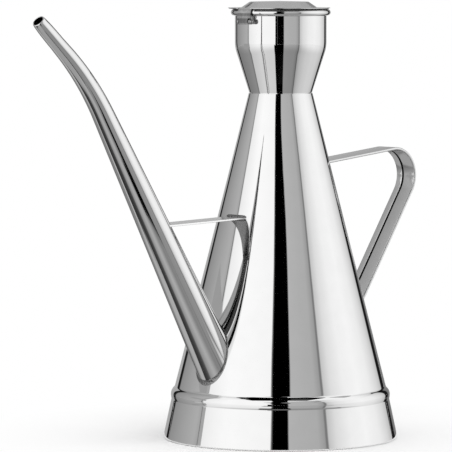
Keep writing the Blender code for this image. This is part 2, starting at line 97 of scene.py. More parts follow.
def offset(path, distance):
    """The path moved sideways to the right of its heading, with mitred corners."""
    moved = []
    for index, point in enumerate(path):
        beside = [i for i in (index - 1, index) if 0 <= i < len(path) - 1]
        near = [Vector(path[i + 1]) - Vector(path[i]) for i in beside]
        rights = [Vector((step.y, -step.x)).normalized() for step in near]
        middle = sum(rights, Vector((0, 0)))
        scale = distance * len(rights) / middle.length_squared
        moved.append((point[0] + middle.x * scale, point[1] + middle.y * scale))
    return moved


def with_rows(outline, closed):
    """The outline with points near both ends of each straight run and at even steps along it.

    They keep the shading of a straight wall from being pulled by the curves beside it.
    """
    rows = []
    count = len(outline)
    for index in range(count if closed else count - 1):
        start, end = Vector(outline[index]), Vector(outline[(index + 1) % count])
        length = (end - start).length
        rows.append(start)
        if length > 4 * RUN_END:
            steps = ceil(length / ROW_SPACING)
            shares = [RUN_END / length] + [s / steps for s in range(1, steps)] + [1 - RUN_END / length]
            rows += [start.lerp(end, share) for share in shares]
    if not closed:
        rows.append(Vector(outline[-1]))
    return rows


def face_out(shape):
    bmesh.ops.recalc_face_normals(shape, faces=shape.faces)


def turned(outline, closed=True):
    """A profile (outwards, up) turned round the Z axis into one closed skin."""
    shape = bmesh.new()
    points = [shape.verts.new((x, 0, z)) for x, z in with_rows(outline, closed)]
    pairs = zip(points, points[1:] + points[:1]) if closed else zip(points, points[1:])
    for first, second in pairs:
        shape.edges.new((first, second))
    bmesh.ops.spin(shape, geom=shape.verts[:] + shape.edges[:], axis=(0, 0, 1), angle=tau,
                   steps=AROUND, use_merge=True)
    bmesh.ops.remove_doubles(shape, verts=shape.verts, dist=WELD_DISTANCE)
    face_out(shape)
    return shape


def in_scene(name, data):
    made = bpy.data.objects.new(name, data)
    bpy.context.scene.collection.objects.link(made)
    return made


def object_from(name, shape):
    """An object in the scene, made from a bmesh, which is used up."""
    mesh = bpy.data.meshes.new(name)
    shape.to_mesh(mesh)
    shape.free()
    return in_scene(name, mesh)


def make_piece(name, shape, material):
    """A finished piece with its material, shaded smooth but kept crisp at true corners."""
    for edge in shape.edges:
        edge.smooth = not (edge.is_manifold and edge.calc_face_angle() > SHARP_ANGLE)
    for face in shape.faces:
        face.smooth = True
    made = object_from(name, shape)
    made.data.materials.append(material)
    return made


def new_group(name, inputs, outputs):
    """A shader node group with named sockets, and the two ends that are linked inside it."""
    group = bpy.data.node_groups.new(name, "ShaderNodeTree")
    for socket, kind, value in inputs:
        made = group.interface.new_socket(name=socket, in_out="INPUT", socket_type="NodeSocket" + kind)
        if value is not None:
            made.default_value = value
    for socket, kind in outputs:
        group.interface.new_socket(name=socket, in_out="OUTPUT", socket_type="NodeSocket" + kind)
    return group, group.nodes.new("NodeGroupInput").outputs, group.nodes.new("NodeGroupOutput").inputs


def add_node(tree, kind, inputs=(), **settings):
    """A shader node with its settings, and a value or a link in each input that is named."""
    node = tree.nodes.new("ShaderNode" + kind)
    for setting, value in settings.items():
        setattr(node, setting, value)
    for socket, value in dict(inputs).items():
        if isinstance(value, bpy.types.NodeSocket):
            tree.links.new(value, node.inputs[socket])
        else:
            node.inputs[socket].default_value = value
    return node


def math_node(tree, operation, *values):
    return add_node(tree, "Math", enumerate(values), operation=operation).outputs["Value"]


def times(tree, product, *others):
    for value in others:
        product = math_node(tree, "MULTIPLY", product, value)
    return product


def grey(tone):
    return tone, tone, tone, 1


def round_coordinates():
    """Coordinates that follow a turned piece: its reach, a little of its turn, and its height."""
    group, given, out = new_group(
        "turned coordinates", [("Vector", "Vector", None), ("Axis drift", "Float", 0.03)],
        [("Vector", "Vector")])
    x, y, z = add_node(group, "SeparateXYZ", {0: given["Vector"]}).outputs
    reach = math_node(group, "SQRT", math_node(group, "ADD", times(group, x, x), times(group, y, y)))
    drift = times(group, math_node(group, "ADD", x, y), given["Axis drift"])
    joined = add_node(group, "CombineXYZ", enumerate((reach, drift, z)))
    group.links.new(joined.outputs[0], out["Vector"])
    return group


def sheet_polish():
    """Polished sheet: fine polishing lines in the gloss, a faint uneven tone, and soft waves."""
    group, given, out = new_group(
        "sheet polish",
        [("Line vector", "Vector", None), ("Wave vector", "Vector", None),
         ("Line scale", "Float", 1500.0), ("Wave scale", "Float", 60.0),
         ("Roughness", "Float", 0.08), ("Line depth", "Float", 0.03), ("Smudge depth", "Float", 0.02),
         ("Bright", "Color", grey(0.9)), ("Dull", "Color", grey(0.85))],
        [("Base Color", "Color"), ("Roughness", "Float"), ("Height", "Float")])
    noises = [add_node(group, "TexNoise", {"Vector": given[vector], "Scale": scale, "Detail": detail})
              for vector, scale, detail in (("Line vector", given["Line scale"], 2.0),
                                            ("Wave vector", given["Wave scale"], 1.0),
                                            ("Wave vector", SMUDGE_SCALE, 3.0))]
    lines, waves, smudges = (noise.outputs["Fac"] for noise in noises)
    uneven = (times(group, math_node(group, "SUBTRACT", noise, 0.5), given[depth])
              for noise, depth in ((lines, "Line depth"), (smudges, "Smudge depth")))
    tone = add_node(group, "Mix", {"Factor": smudges, "A": given["Bright"], "B": given["Dull"]},
                    data_type="RGBA")
    made = {"Base Color": tone.outputs["Result"],
            "Roughness": math_node(group, "ADD", given["Roughness"], math_node(group, "ADD", *uneven)),
            "Height": math_node(group, "ADD", waves, times(group, lines, LINE_HEIGHT))}
    for socket, value in made.items():
        group.links.new(value, out[socket])
    return group


TURNED_COORDINATES = round_coordinates()
SHEET_POLISH = sheet_polish()


def new_material(name):
    material = bpy.data.materials.new(name)
    material.use_nodes = True
    return material, material.node_tree


def steel(name, tone, roughness, wave_height, along=None, line_depth=0.03, spread=0.05, wave_scale=60.0):
    """Steel sheet. along is the stretch and turn of its polishing lines, or None on a turned piece."""
    material, tree = new_material(name)
    place = add_node(tree, "TexCoord").outputs["Object"]
    if along is None:
        lines = add_node(tree, "Group", node_tree=TURNED_COORDINATES)
    else:
        lines = add_node(tree, "Mapping", {"Scale": along[0], "Rotation": (0, along[1], 0)})
    tree.links.new(place, lines.inputs["Vector"])
    polish = add_node(tree, "Group", name="Polish", node_tree=SHEET_POLISH, inputs={
        "Line vector": lines.outputs["Vector"], "Wave vector": place, "Wave scale": wave_scale,
        "Roughness": roughness, "Line depth": line_depth,
        "Bright": grey(tone), "Dull": grey(tone - spread)})
    bump = add_node(tree, "Bump", {"Distance": wave_height, "Height": polish.outputs["Height"]})
    shader = tree.nodes["Principled BSDF"].inputs
    shader["Metallic"].default_value = 1
    tree.links.new(polish.outputs["Base Color"], shader["Base Color"])
    tree.links.new(polish.outputs["Roughness"], shader["Roughness"])
    tree.links.new(bump.outputs["Normal"], shader["Normal"])
    return material


BEAD_Z = RING_HEIGHT - BEAD_RISE
BEAD_RADIUS = CONE_FOOT_RADIUS + BEAD_BULGE
SKIRT_TOP_RADIUS = BEAD_RADIUS - BEAD_FOOT_DRAW
FOOT_RADIUS = SKIRT_TOP_RADIUS + SKIRT_FLARE

ledge = (CONE_FOOT_RADIUS - SHEET - SHOULDER_LEDGE, RING_HEIGHT)
upper = bulge((BEAD_RADIUS, BEAD_Z), BEAD_BULGE - SHOULDER_STEP, BEAD_RISE, 14)
lower = bulge((BEAD_RADIUS, -BEAD_Z), BEAD_FOOT_DRAW, BEAD_DROP, 8)
lower = [(x, -z) for x, z in lower]
crease = fillet(lower[-2], lower[-1], (FOOT_RADIUS, 0), CREASE_RADIUS, 6)
hem_end = (FOOT_RADIUS - HEM_WIDTH, 0)
corner = fillet(crease[-1], (FOOT_RADIUS, 0), hem_end, FOOT_CORNER_RADIUS, 8)
path = [ledge] + upper[::-1] + lower[1:-1] + crease + corner + [hem_end]
ring = make_piece("foot_ring_polished", turned(path + offset(path, SHEET)[::-1]),
                  steel("foot ring steel", 0.80, 0.03, 0.00003))
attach(ring, "vessel")
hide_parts("foot_ring")


# Base plate
# A plain steel disc laid on the hem inside the foot ring, which closes the vessel. It keeps the
# dull rolled surface of the sheet, because nobody sees it in use.

plate_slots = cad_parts["base_plate"].data.materials
plate_slots.clear()
plate_slots.append(steel("base plate steel", 0.66, 0.32, 0.00002, line_depth=0.12))


# Cone
# The wall of the vessel, rolled from steel sheet, seamed, planished and polished to a mirror. A hole
# near its foot opens into the spout. It stands on the shoulder of the foot ring, where it is brazed.

CONE_LIFT = 0.00001
CONE_FOOT_Z = RING_HEIGHT + CONE_LIFT
CONE_TOP_Z = 0.1559
CONE_TOP_RADIUS = 0.01437
CONE_WALL_FOOT_Z = 0.0232
CONE_WALL_HEIGHT = 0.1327
CONE_TAPER = (CONE_FOOT_RADIUS - CONE_TOP_RADIUS) / CONE_WALL_HEIGHT
CONE_ANGLE = atan(CONE_TAPER)
SPOUT_FOOT_HEIGHT = 0.0413
SPOUT_FOOT_RADIUS = 0.00928
SPOUT_SHEET = 0.0005
SPOUT_LOWER_ANGLE = radians(30.7)
HOLE_REACH = 2.4
CUTTER_SIDES = 96
FLARE_TILT = radians(46)
FLARE_RADIUS = 0.0016


def cone_radius(z, stand_off=0):
    """The radius of the cone's outer face at a height, moved out square to its wall."""
    return CONE_FOOT_RADIUS - (z - CONE_WALL_FOOT_Z) * CONE_TAPER + stand_off / cos(CONE_ANGLE)


def frustum(name, low, high, low_radius, high_radius, sides):
    """A solid round cutter from one point to another."""
    low, high = Vector(low), Vector(high)
    shape = bmesh.new()
    turn = (high - low).to_track_quat("Z", "Y").to_matrix().to_4x4()
    bmesh.ops.create_cone(shape, cap_ends=True, segments=sides, radius1=low_radius, radius2=high_radius,
                          depth=(high - low).length, matrix=Matrix.Translation((low + high) / 2) @ turn)
    return object_from(name, shape)


def combine(shape, tool, operation="DIFFERENCE"):
    """An exact Boolean of a bmesh with a tool object. Both are used up."""
    work = object_from("work", shape)
    modifier = work.modifiers.new(operation.title(), "BOOLEAN")
    modifier.operation = operation
    modifier.solver = "EXACT"
    modifier.object = tool
    bpy.context.view_layer.update()
    done = bpy.data.meshes.new_from_object(work.evaluated_get(bpy.context.evaluated_depsgraph_get()))
    for used in (work, tool):
        bpy.data.objects.remove(used, do_unlink=True)
    cut = bmesh.new()
    cut.from_mesh(done)
    bpy.data.meshes.remove(done)
    return cut


wall = SHEET / cos(CONE_ANGLE)
top = (cone_radius(CONE_TOP_Z), CONE_TOP_Z)
flare_end = (CONE_FOOT_RADIUS + SHOULDER_STEP, CONE_FOOT_Z)
flare_draw = sin(FLARE_TILT) - CONE_TAPER * cos(FLARE_TILT)
run = (flare_end[0] - cone_radius(CONE_FOOT_Z)) / flare_draw
flare_start = (flare_end[0] - run * sin(FLARE_TILT), CONE_FOOT_Z + run * cos(FLARE_TILT))
outer = [top] + fillet(top, flare_start, flare_end, FLARE_RADIUS, 8) + [flare_end]
inner = [(cone_radius(z) - wall, z) for z in (CONE_FOOT_Z, CONE_TOP_Z)]
cone_skin = turned(outer + inner)
SPOUT_ROOT = Vector((-cone_radius(SPOUT_FOOT_HEIGHT), 0, SPOUT_FOOT_HEIGHT))
SPOUT_UP = Vector((-sin(SPOUT_LOWER_ANGLE), 0, cos(SPOUT_LOWER_ANGLE)))
bore = SPOUT_FOOT_RADIUS - SPOUT_SHEET
reach = SPOUT_UP * HOLE_REACH * bore
hole = frustum("spout_hole", SPOUT_ROOT - reach, SPOUT_ROOT + reach, bore, bore, CUTTER_SIDES)
cone = make_piece("body_cone_polished", combine(cone_skin, hole),
                  steel("cone steel", 0.81, 0.03, 0.00002))
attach(cone, "vessel")
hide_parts("body_cone")


# Neck funnel
# A short funnel spun from steel sheet. Its sleeve is pushed into the top of the cone and brazed, and
# its rim is rolled outwards round a wire, which makes the bead that the lid rests on.

SEAM_GAP = 0.0003
SLEEVE_LENGTH = 0.0050
FUNNEL_FOOT_STEP = 0.0002
FUNNEL_SLOPE_HEIGHT = 0.0175
FUNNEL_BEND_HEIGHT = 0.0055
FUNNEL_HEIGHT = 0.0360
MOUTH_RADIUS = 0.0206
RIM_BEAD_RADIUS = 0.0015
RIM_BEAD_SET_OUT = 0.00034
NECK_FOOT_Z = 0.1562
RIM_Z = NECK_FOOT_Z + FUNNEL_HEIGHT
RIM_CENTRE = (MOUTH_RADIUS + RIM_BEAD_SET_OUT, RIM_Z)
SLEEVE_RADIUS = CONE_TOP_RADIUS - SHEET / cos(CONE_ANGLE) - SEAM_GAP

foot = (CONE_TOP_RADIUS - FUNNEL_FOOT_STEP, NECK_FOOT_Z)
bend_top = (MOUTH_RADIUS, NECK_FOOT_Z + FUNNEL_SLOPE_HEIGHT + FUNNEL_BEND_HEIGHT)
slope = (bend_top[0] - foot[0]) / (FUNNEL_SLOPE_HEIGHT + FUNNEL_BEND_HEIGHT / 2)
corner = (MOUTH_RADIUS, foot[1] + (bend_top[0] - foot[0]) / slope)
radius = FUNNEL_BEND_HEIGHT / 2 / tan(atan(slope) / 2)
shoulder = fillet(bend_top, corner, foot, radius, 16)
under_rim = acos((MOUTH_RADIUS - RIM_CENTRE[0]) / RIM_BEAD_RADIUS)
inside_rim = acos((MOUTH_RADIUS - SHEET - RIM_CENTRE[0]) / RIM_BEAD_RADIUS)
rim = arc(RIM_CENTRE, RIM_BEAD_RADIUS, tau - inside_rim, -under_rim, 44)
sleeve_end = NECK_FOOT_Z - SEAM_GAP - SLEEVE_LENGTH
sleeve = [(SLEEVE_RADIUS, NECK_FOOT_Z), (SLEEVE_RADIUS, sleeve_end), (SLEEVE_RADIUS - SHEET, sleeve_end)]
wall = SHEET / cos(atan(slope))
shelf_z = NECK_FOOT_Z + SHEET
shelf = [(SLEEVE_RADIUS - SHEET, shelf_z), (foot[0] + SHEET * slope - wall, shelf_z)]
bowl = offset(shoulder + [foot], SHEET)[:-1]
neck = make_piece("neck_funnel_polished", turned(rim + shoulder + [foot] + sleeve + shelf + bowl[::-1]),
                  steel("neck steel", 0.79, 0.04, 0.00002))
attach(neck, "vessel")
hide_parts("neck_funnel")


# Hinge ears and pin
# Two ears of one small bent bracket, brazed under the rim bead on the spout's side, hold a steel pin
# with a domed head at each end. They are plain steel, only tumbled smooth, and their dark tone is
# painted shade under the rim bead.

PIN_RADIUS = 0.00045
PIN_CLEARANCE = 0.00025
PIN_STAND_OFF = 0.00068
PIN_DROP = 0.0040
LID_SHEET = 0.00055
TAB_THINNING = 0.00008
TAB_SHEET = LID_SHEET - TAB_THINNING
KNUCKLE_WIDTH = 0.0056
KNUCKLE_RADIUS = PIN_RADIUS + PIN_CLEARANCE + TAB_SHEET
PIN_X = -(MOUTH_RADIUS + PIN_STAND_OFF + KNUCKLE_RADIUS)
PIN_Z = RIM_Z - PIN_DROP
EAR_SIDE_GAP = 0.0003
EAR_THICKNESS = 0.00105
EAR_RADIUS = 0.00120
EAR_STEM_HEIGHT = 0.0022
EAR_STEM_REACH = 0.00015
EAR_BITE = 0.0001
EAR_EDGE = 0.00012
EYE_SIDES = 32
PIN_HEAD_RADIUS = 0.00115
PIN_HEAD_HEIGHT = 0.0009
PIN_HEAD_GAP = 0.0002
CUTTER_REACH = 0.01
SOLID = ((1, 1, 1), 0)


def plate(outline, low, high):
    """A flat outline (x, z) given its thickness along Y."""
    shape = bmesh.new()
    face = shape.faces.new([shape.verts.new((x, low, z)) for x, z in outline])
    made = bmesh.ops.extrude_face_region(shape, geom=[face], use_keep_orig=True)
    moved = [v for v in made["geom"] if isinstance(v, bmesh.types.BMVert)]
    bmesh.ops.translate(shape, verts=moved, vec=(0, high - low, 0))
    face_out(shape)
    return shape


def break_edges(shape, width, segments=2, edges=None):
    """Rounds the sharp edges of a solid, or only the ones given."""
    sharp = edges or [e for e in shape.edges if e.is_manifold and e.calc_face_angle() > SHARP_ANGLE]
    bmesh.ops.bevel(shape, geom=sharp, offset=width, segments=segments, profile=0.5,
                    affect="EDGES", material=-1, clamp_overlap=True)


EAR_INNER_Y = KNUCKLE_WIDTH / 2 + EAR_SIDE_GAP
EAR_OUTER_Y = EAR_INNER_Y + EAR_THICKNESS
# The ears' dark tone is painted shade under the rim bead.
ear_steel_painted_shade = steel("hinge ear steel with painted shade", 0.46, 0.26, 0.00002, SOLID, 0.10, 0.12, 400.0)
wall_x = -sqrt((MOUTH_RADIUS - EAR_BITE) ** 2 - EAR_INNER_Y ** 2)
stem_x = PIN_X - EAR_STEM_REACH
ear_top = RIM_Z - RIM_BEAD_RADIUS + EAR_BITE
leaves = acos(-EAR_STEM_REACH / EAR_RADIUS)
eye = arc((PIN_X, PIN_Z), EAR_RADIUS, leaves, tau, EYE_SIDES)
ear_outline = [(stem_x, ear_top)] + eye + [(wall_x, ear_top - EAR_STEM_HEIGHT), (wall_x, ear_top)]
for side, end in ((-1, "near"), (1, "far")):
    blank = plate(ear_outline, *sorted((side * EAR_INNER_Y, side * EAR_OUTER_Y)))
    break_edges(blank, EAR_EDGE)
    eyelet = frustum("ear_hole", (PIN_X, -CUTTER_REACH, PIN_Z), (PIN_X, CUTTER_REACH, PIN_Z),
                     PIN_RADIUS + PIN_CLEARANCE, PIN_RADIUS + PIN_CLEARANCE, EYE_SIDES)
    ear = make_piece("hinge_ear_" + end + "_steel", combine(blank, eyelet), ear_steel_painted_shade)
    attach(ear, "vessel")
    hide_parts("hinge_ear_" + end)

seat = EAR_OUTER_Y + PIN_HEAD_GAP
radius = (PIN_HEAD_RADIUS ** 2 + PIN_HEAD_HEIGHT ** 2) / (2 * PIN_HEAD_HEIGHT)
reach = asin(PIN_HEAD_RADIUS / radius)
dome = arc((0, seat + PIN_HEAD_HEIGHT - radius), radius, pi / 2, pi / 2 - reach, 10)
half = [(0, dome[0][1])] + dome[1:] + [(PIN_RADIUS, seat)]
pin_skin = turned(half + [(x, -z) for x, z in half[::-1]], closed=False)
bmesh.ops.transform(pin_skin, verts=pin_skin.verts,
                    matrix=Matrix.Translation((PIN_X, 0, PIN_Z)) @ Matrix.Rotation(-pi / 2, 4, "X"))
# The pin's dark tone is painted shade under the rim bead.
pin_steel_painted_shade = steel("pin steel", 0.42, 0.28, 0.00002, SOLID, 0.10, 0.12, 500.0)
pin = make_piece("hinge_pin_steel", pin_skin, pin_steel_painted_shade)
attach(pin, "vessel")
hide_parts("hinge_pin")


# Lid
# A stamped steel cover with a shallow dome and a flat flange that lies on the rim bead. A tab at the
# spout's side is bent down over the bead and curled once round the pin, between the ears.

LID_OFFSET = 0.0010
LID_GAP = 0.00007
FLANGE_RADIUS = 0.0230
DOME_FOOT_RADIUS = 0.0172
PLATEAU_RADIUS = 0.0132
DOME_HEIGHT = 0.0027
CROWN_RISE = 0.0003
DOME_FOOT_FILLET = 0.0008
PLATEAU_FILLET = 0.0014
FLANGE_BURR = 0.0009
TAB_WIDTH = 0.0083
TAB_ROOT = 0.0030
TAB_RELIEF = 0.00035
TAB_EDGE = 0.00008
KNUCKLE_TURN = radians(290)
FLANGE_TOP_Z = RIM_Z + RIM_BEAD_RADIUS + LID_GAP + LID_SHEET
OVERRUN = 0.004
# The tab's colour has painted light and shade by height: a painted highlight where it bends over the
# bead, and painted shade in the hollow below and round the pin.
TAB_PAINTED_LIGHT_TONES = ((0.1868, 1.0), (0.1876, 1.0), (0.1880, 0.42), (0.1895, 0.40), (0.1900, 0.75),
             (0.1906, 0.75), (0.1910, 0.45), (0.1919, 0.47), (0.1923, 1.0), (0.1945, 1.0))


def block(name, low, high):
    """A box-shaped cutter between two corners."""
    low, high = Vector(low), Vector(high)
    shape = bmesh.new()
    place = Matrix.Translation((low + high) / 2) @ Matrix.Diagonal((*(high - low), 1))
    bmesh.ops.create_cube(shape, size=1, matrix=place)
    return object_from(name, shape)


def between(tree, value, low, high, start=0.0, end=1.0, way="SMOOTHSTEP"):
    """A share that goes from start to end while the value goes from low to high."""
    limits = {"Value": value, "From Min": low, "From Max": high, "To Min": start, "To Max": end}
    return add_node(tree, "MapRange", limits, interpolation_type=way).outputs["Result"]


def tone_ramp(tree, share, tones):
    """The grey tone at a share, from pairs of share and tone."""
    ramp = add_node(tree, "ValToRGB", {"Fac": share})
    stops = ramp.color_ramp.elements
    for index, (place, tone) in enumerate(tones):
        stop = stops[0] if index == 0 else stops[-1] if index == len(tones) - 1 else stops.new(place)
        stop.position = place
        stop.color = grey(tone)
    return ramp.outputs["Color"]


plateau_z = FLANGE_TOP_Z + DOME_HEIGHT
crown = (0, plateau_z + CROWN_RISE)
plateau = (PLATEAU_RADIUS, plateau_z)
foot = (DOME_FOOT_RADIUS, FLANGE_TOP_Z)
edge = (FLANGE_RADIUS, FLANGE_TOP_Z)
over = fillet(crown, plateau, foot, PLATEAU_FILLET, 8)
under = fillet(plateau, foot, edge, DOME_FOOT_FILLET, 8)
path = [crown] + over + under + [edge]
inner = offset(path, LID_SHEET)
inner[0] = (0, crown[1] - LID_SHEET)
inner[-1] = (FLANGE_RADIUS - FLANGE_BURR, FLANGE_TOP_Z - LID_SHEET)
edge_foot = (FLANGE_RADIUS, FLANGE_TOP_Z - LID_SHEET / 3)
disc = turned(path + [edge_foot] + inner[::-1], closed=False)
bmesh.ops.translate(disc, verts=disc.verts, vec=(-LID_OFFSET, 0, 0))

top = FLANGE_TOP_Z - (LID_SHEET - TAB_SHEET) / 2
rim_middle = (-RIM_CENTRE[0], RIM_CENTRE[1])
bend_radius = top - rim_middle[1]
across = Vector((PIN_X - rim_middle[0], PIN_Z - rim_middle[1]))
down = atan2(across.y, across.x) + tau
heading = down + pi / 2 - acos((bend_radius - KNUCKLE_RADIUS) / across.length)
tab_bend = arc(rim_middle, bend_radius, pi / 2, heading - pi / 2, 16)
start = heading - pi / 2
curl = arc((PIN_X, PIN_Z), KNUCKLE_RADIUS, start, start + KNUCKLE_TURN, 40)
path = [(rim_middle[0] + TAB_ROOT, top)] + tab_bend + curl
tab = plate(path + offset(path, -TAB_SHEET)[::-1], -TAB_WIDTH / 2, TAB_WIDTH / 2)
high = PIN_Z + EAR_RADIUS + EAR_SIDE_GAP
for side in (-1, 1):
    ends = sorted((side * KNUCKLE_WIDTH / 2, side * TAB_WIDTH))
    tab = combine(tab, block("knuckle_end", (PIN_X - OVERRUN, ends[0], PIN_Z - OVERRUN),
                             (PIN_X + OVERRUN, ends[1], high)))
break_edges(tab, TAB_EDGE, 1)
relief_y = TAB_WIDTH / 2 + TAB_RELIEF
disc = combine(disc, block("tab_relief",
                           (-RIM_CENTRE[0] - FLANGE_RADIUS, -relief_y, FLANGE_TOP_Z - OVERRUN / 2),
                           (-RIM_CENTRE[0], relief_y, FLANGE_TOP_Z + OVERRUN / 2)))
lid_steel = steel("lid steel", 0.75, 0.16, 0.00004, line_depth=0.06)
tab = make_piece("lid_tab_work", tab, lid_steel)
lid = make_piece("lid_stamped", combine(disc, tab, "UNION"), lid_steel)
painted_tab_steel = steel("lid tab steel with painted light", 0.68, 0.24, 0.00025, ((1, 0.25, 1), 0), 0.14, 0.16, 240.0)
tree = painted_tab_steel.node_tree
# The tab's colour is multiplied by tones that change with height: a painted highlight on the bend,
# painted shade in the hollow and round the pin.
low, high = TAB_PAINTED_LIGHT_TONES[0][0], TAB_PAINTED_LIGHT_TONES[-1][0]
place = tree.nodes["Texture Coordinate"].outputs["Object"]
height = add_node(tree, "SeparateXYZ", {0: place}).outputs["Z"]
painted_light_bands = tone_ramp(tree, between(tree, height, low, high, way="LINEAR"),
                    [((z - low) / (high - low), tone) for z, tone in TAB_PAINTED_LIGHT_TONES])
polished = tree.nodes["Polish"].outputs["Base Color"]
tab_colour_with_painted_light = add_node(tree, "Mix", {"Factor": 1, "A": polished, "B": painted_light_bands},
                  data_type="RGBA", blend_type="MULTIPLY")
tree.links.new(tab_colour_with_painted_light.outputs["Result"], tree.nodes["Principled BSDF"].inputs["Base Color"])
lid.data.materials.append(painted_tab_steel)
# Faces that look downwards get a dark steel: painted shade on the lid's underside.
lid.data.materials.append(steel("lid underside painted shade", 0.30, 0.34, 0.00004, line_depth=0.12))
tab_top, tab_side = FLANGE_TOP_Z - LID_SHEET / 5, TAB_WIDTH / 2 + TAB_RELIEF / 2
for polygon in lid.data.polygons:
    x, y, z = polygon.center
    if x < -RIM_CENTRE[0] and z < tab_top and abs(y) < tab_side:
        polygon.material_index = 1
    elif polygon.normal.z < -0.5:
        polygon.material_index = 2
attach(lid, "cover")
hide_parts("lid")


# Spout
# A long tapered tube rolled from steel sheet, bent once and cut square at its drawn-in tip. Its wide
# foot is cut to the cone and joined to it all round by a thin fillet of brazing metal.

SPOUT_UPPER_ANGLE = radians(47.4)
SPOUT_LOWER_LENGTH = 0.1251
SPOUT_BEND_RADIUS = 0.1220
SPOUT_UPPER_LENGTH = 0.0059
SPOUT_NOSE_LENGTH = 0.0140
SPOUT_NOSE_DRAW = 0.00075
SPOUT_TIP_RADIUS = 0.0027
SPOUT_LIP = 0.00035
SPOUT_SIDES = 96
SPOUT_RUN_SHARES = (0.4, 0.5, 0.6, 0.7, 0.8, 0.9, 1)
SPOUT_BEND_STEPS = 40
SPOUT_NOSE_STEPS = 16
LIP_STEPS = 6
LIP_ROUNDNESS = 0.6
WELD_WIDTH = 0.0005
WELD_HEIGHT = 0.0007
WELD_POOL = 0.0007
WELD_STEPS = 6
WELD_ROOT = 0.98
HALVINGS = 50


def tube_frame(x, z, heading, radius=1):
    """The matrix that carries a section to a station of a tube or strap in the XZ plane."""
    along, across = Vector((cos(heading), 0, sin(heading))), Vector((0, 1, 0))
    axes = [axis * radius for axis in (across.cross(along), across, along)]
    return Matrix.Translation((x, 0, z)) @ Matrix(axes).transposed().to_4x4()


def ahead(station, distance):
    """The station (x, z, heading) that lies straight ahead of another."""
    x, z, heading = station
    return x + distance * cos(heading), z + distance * sin(heading), heading


def round_bend(station, radius, turn, steps):
    """The stations of a bend that turns anticlockwise, or clockwise where turn is below 0."""
    x, z, heading = station
    radius = copysign(radius, turn)
    middle_x, middle_z = x - radius * sin(heading), z + radius * cos(heading)
    angles = [heading + turn * step / steps for step in range(1, steps + 1)]
    return [(middle_x + radius * sin(a), middle_z - radius * cos(a), a) for a in angles]


def spout_stations(inset, lip):
    """Frames of the spout's skin from inside the cone to its tip."""
    inside = 2 * SPOUT_FOOT_RADIUS
    low = pi / 2 + SPOUT_LOWER_ANGLE
    turn = SPOUT_UPPER_ANGLE - SPOUT_LOWER_ANGLE
    bend = SPOUT_BEND_RADIUS * turn
    straight = inside + SPOUT_LOWER_LENGTH
    total = straight + bend + SPOUT_UPPER_LENGTH
    nose_radius = SPOUT_TIP_RADIUS + SPOUT_NOSE_DRAW
    taper = (SPOUT_FOOT_RADIUS - nose_radius) / (total - inside)
    start = ahead((-cone_radius(SPOUT_FOOT_HEIGHT), SPOUT_FOOT_HEIGHT, low), -inside)
    travelled = [0, 2 * inside] + [straight * share for share in SPOUT_RUN_SHARES]
    line = [ahead(start, distance) for distance in travelled]
    line += round_bend(line[-1], SPOUT_BEND_RADIUS, turn, SPOUT_BEND_STEPS)
    travelled += [straight + bend * step / SPOUT_BEND_STEPS for step in range(1, SPOUT_BEND_STEPS + 1)]
    nose = ahead(line[-1], SPOUT_UPPER_LENGTH)
    frames = [tube_frame(*station, nose_radius + (total - distance) * taper - inset)
              for station, distance in zip(line + [nose], travelled + [total])]
    for step in range(1, SPOUT_NOSE_STEPS + 1):
        share = sin(pi / 2 * step / SPOUT_NOSE_STEPS)
        draw = (SPOUT_NOSE_DRAW - inset + lip) * sqrt(max(1 - share * share, 0))
        frames.append(tube_frame(*ahead(nose, SPOUT_NOSE_LENGTH * share), SPOUT_TIP_RADIUS - lip + draw))
    return frames


def seat_on_cone(vert, far_point, stand_off):
    """Slides a point along a straight line until it lies on the cone, standing off its outer face."""
    near, far = vert.co.copy(), far_point.copy()
    for _ in range(HALVINGS):
        middle = (near + far) / 2
        if hypot(middle.x, middle.y) < cone_radius(middle.z, stand_off):
            near = middle
        else:
            far = middle
    vert.co = near


def seat_ring(points, start, end, stand_off=0):
    """Slides a ring of points from one frame towards another until it lies on the cone."""
    carry = end @ start.inverted()
    for vert in points:
        seat_on_cone(vert, carry @ vert.co, stand_off)


def extrude_through(shape, ring, frames):
    """Carries a ring of points through frames, and leaves a skin behind it."""
    points, edges = ring
    rings = [points]
    for old, new in zip(frames, frames[1:]):
        made = bmesh.ops.extrude_edge_only(shape, edges=edges)["geom"]
        points = [item for item in made if isinstance(item, bmesh.types.BMVert)]
        fresh = set(points)
        edges = [item for item in made
                 if isinstance(item, bmesh.types.BMEdge) and set(item.verts) <= fresh]
        bmesh.ops.transform(shape, verts=points, matrix=new @ old.inverted())
        rings.append(points)
    return rings, edges


def circle(shape, matrix, sides):
    points = bmesh.ops.create_circle(shape, segments=sides, radius=1, matrix=matrix)["verts"]
    return points, list({link for vert in points for link in vert.link_edges})


spout_skin = bmesh.new()
outside, inside = spout_stations(0, 0), spout_stations(SPOUT_SHEET, SPOUT_LIP)
tip = outside[-1]
thick = SPOUT_LIP / SPOUT_TIP_RADIUS / 2
lip_frames = []
for step in range(1, LIP_STEPS):
    turn = pi * step / LIP_STEPS
    scale = 1 - thick + thick * cos(turn)
    lip_frames.append(tip @ Matrix.Translation((0, 0, thick * LIP_ROUNDNESS * sin(turn)))
                      @ Matrix.Diagonal((scale, scale, 1, 1)))
frames = outside + lip_frames + inside[::-1]
outer_ring, outer_edges = circle(spout_skin, frames[0], SPOUT_SIDES)
rings, inner_edges = extrude_through(spout_skin, (outer_ring, outer_edges), frames)
seat_ring(outer_ring, outside[0], outside[1])
seat_ring(rings[-1], inside[0], inside[1])
bmesh.ops.bridge_loops(spout_skin, edges=outer_edges + inner_edges)
face_out(spout_skin)
spout = make_piece("spout_polished", spout_skin,
                   steel("spout steel", 0.78, 0.07, 0.00003, ((1, 1, 0.02), -SPOUT_LOWER_ANGLE)))
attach(spout, "vessel")
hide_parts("spout")

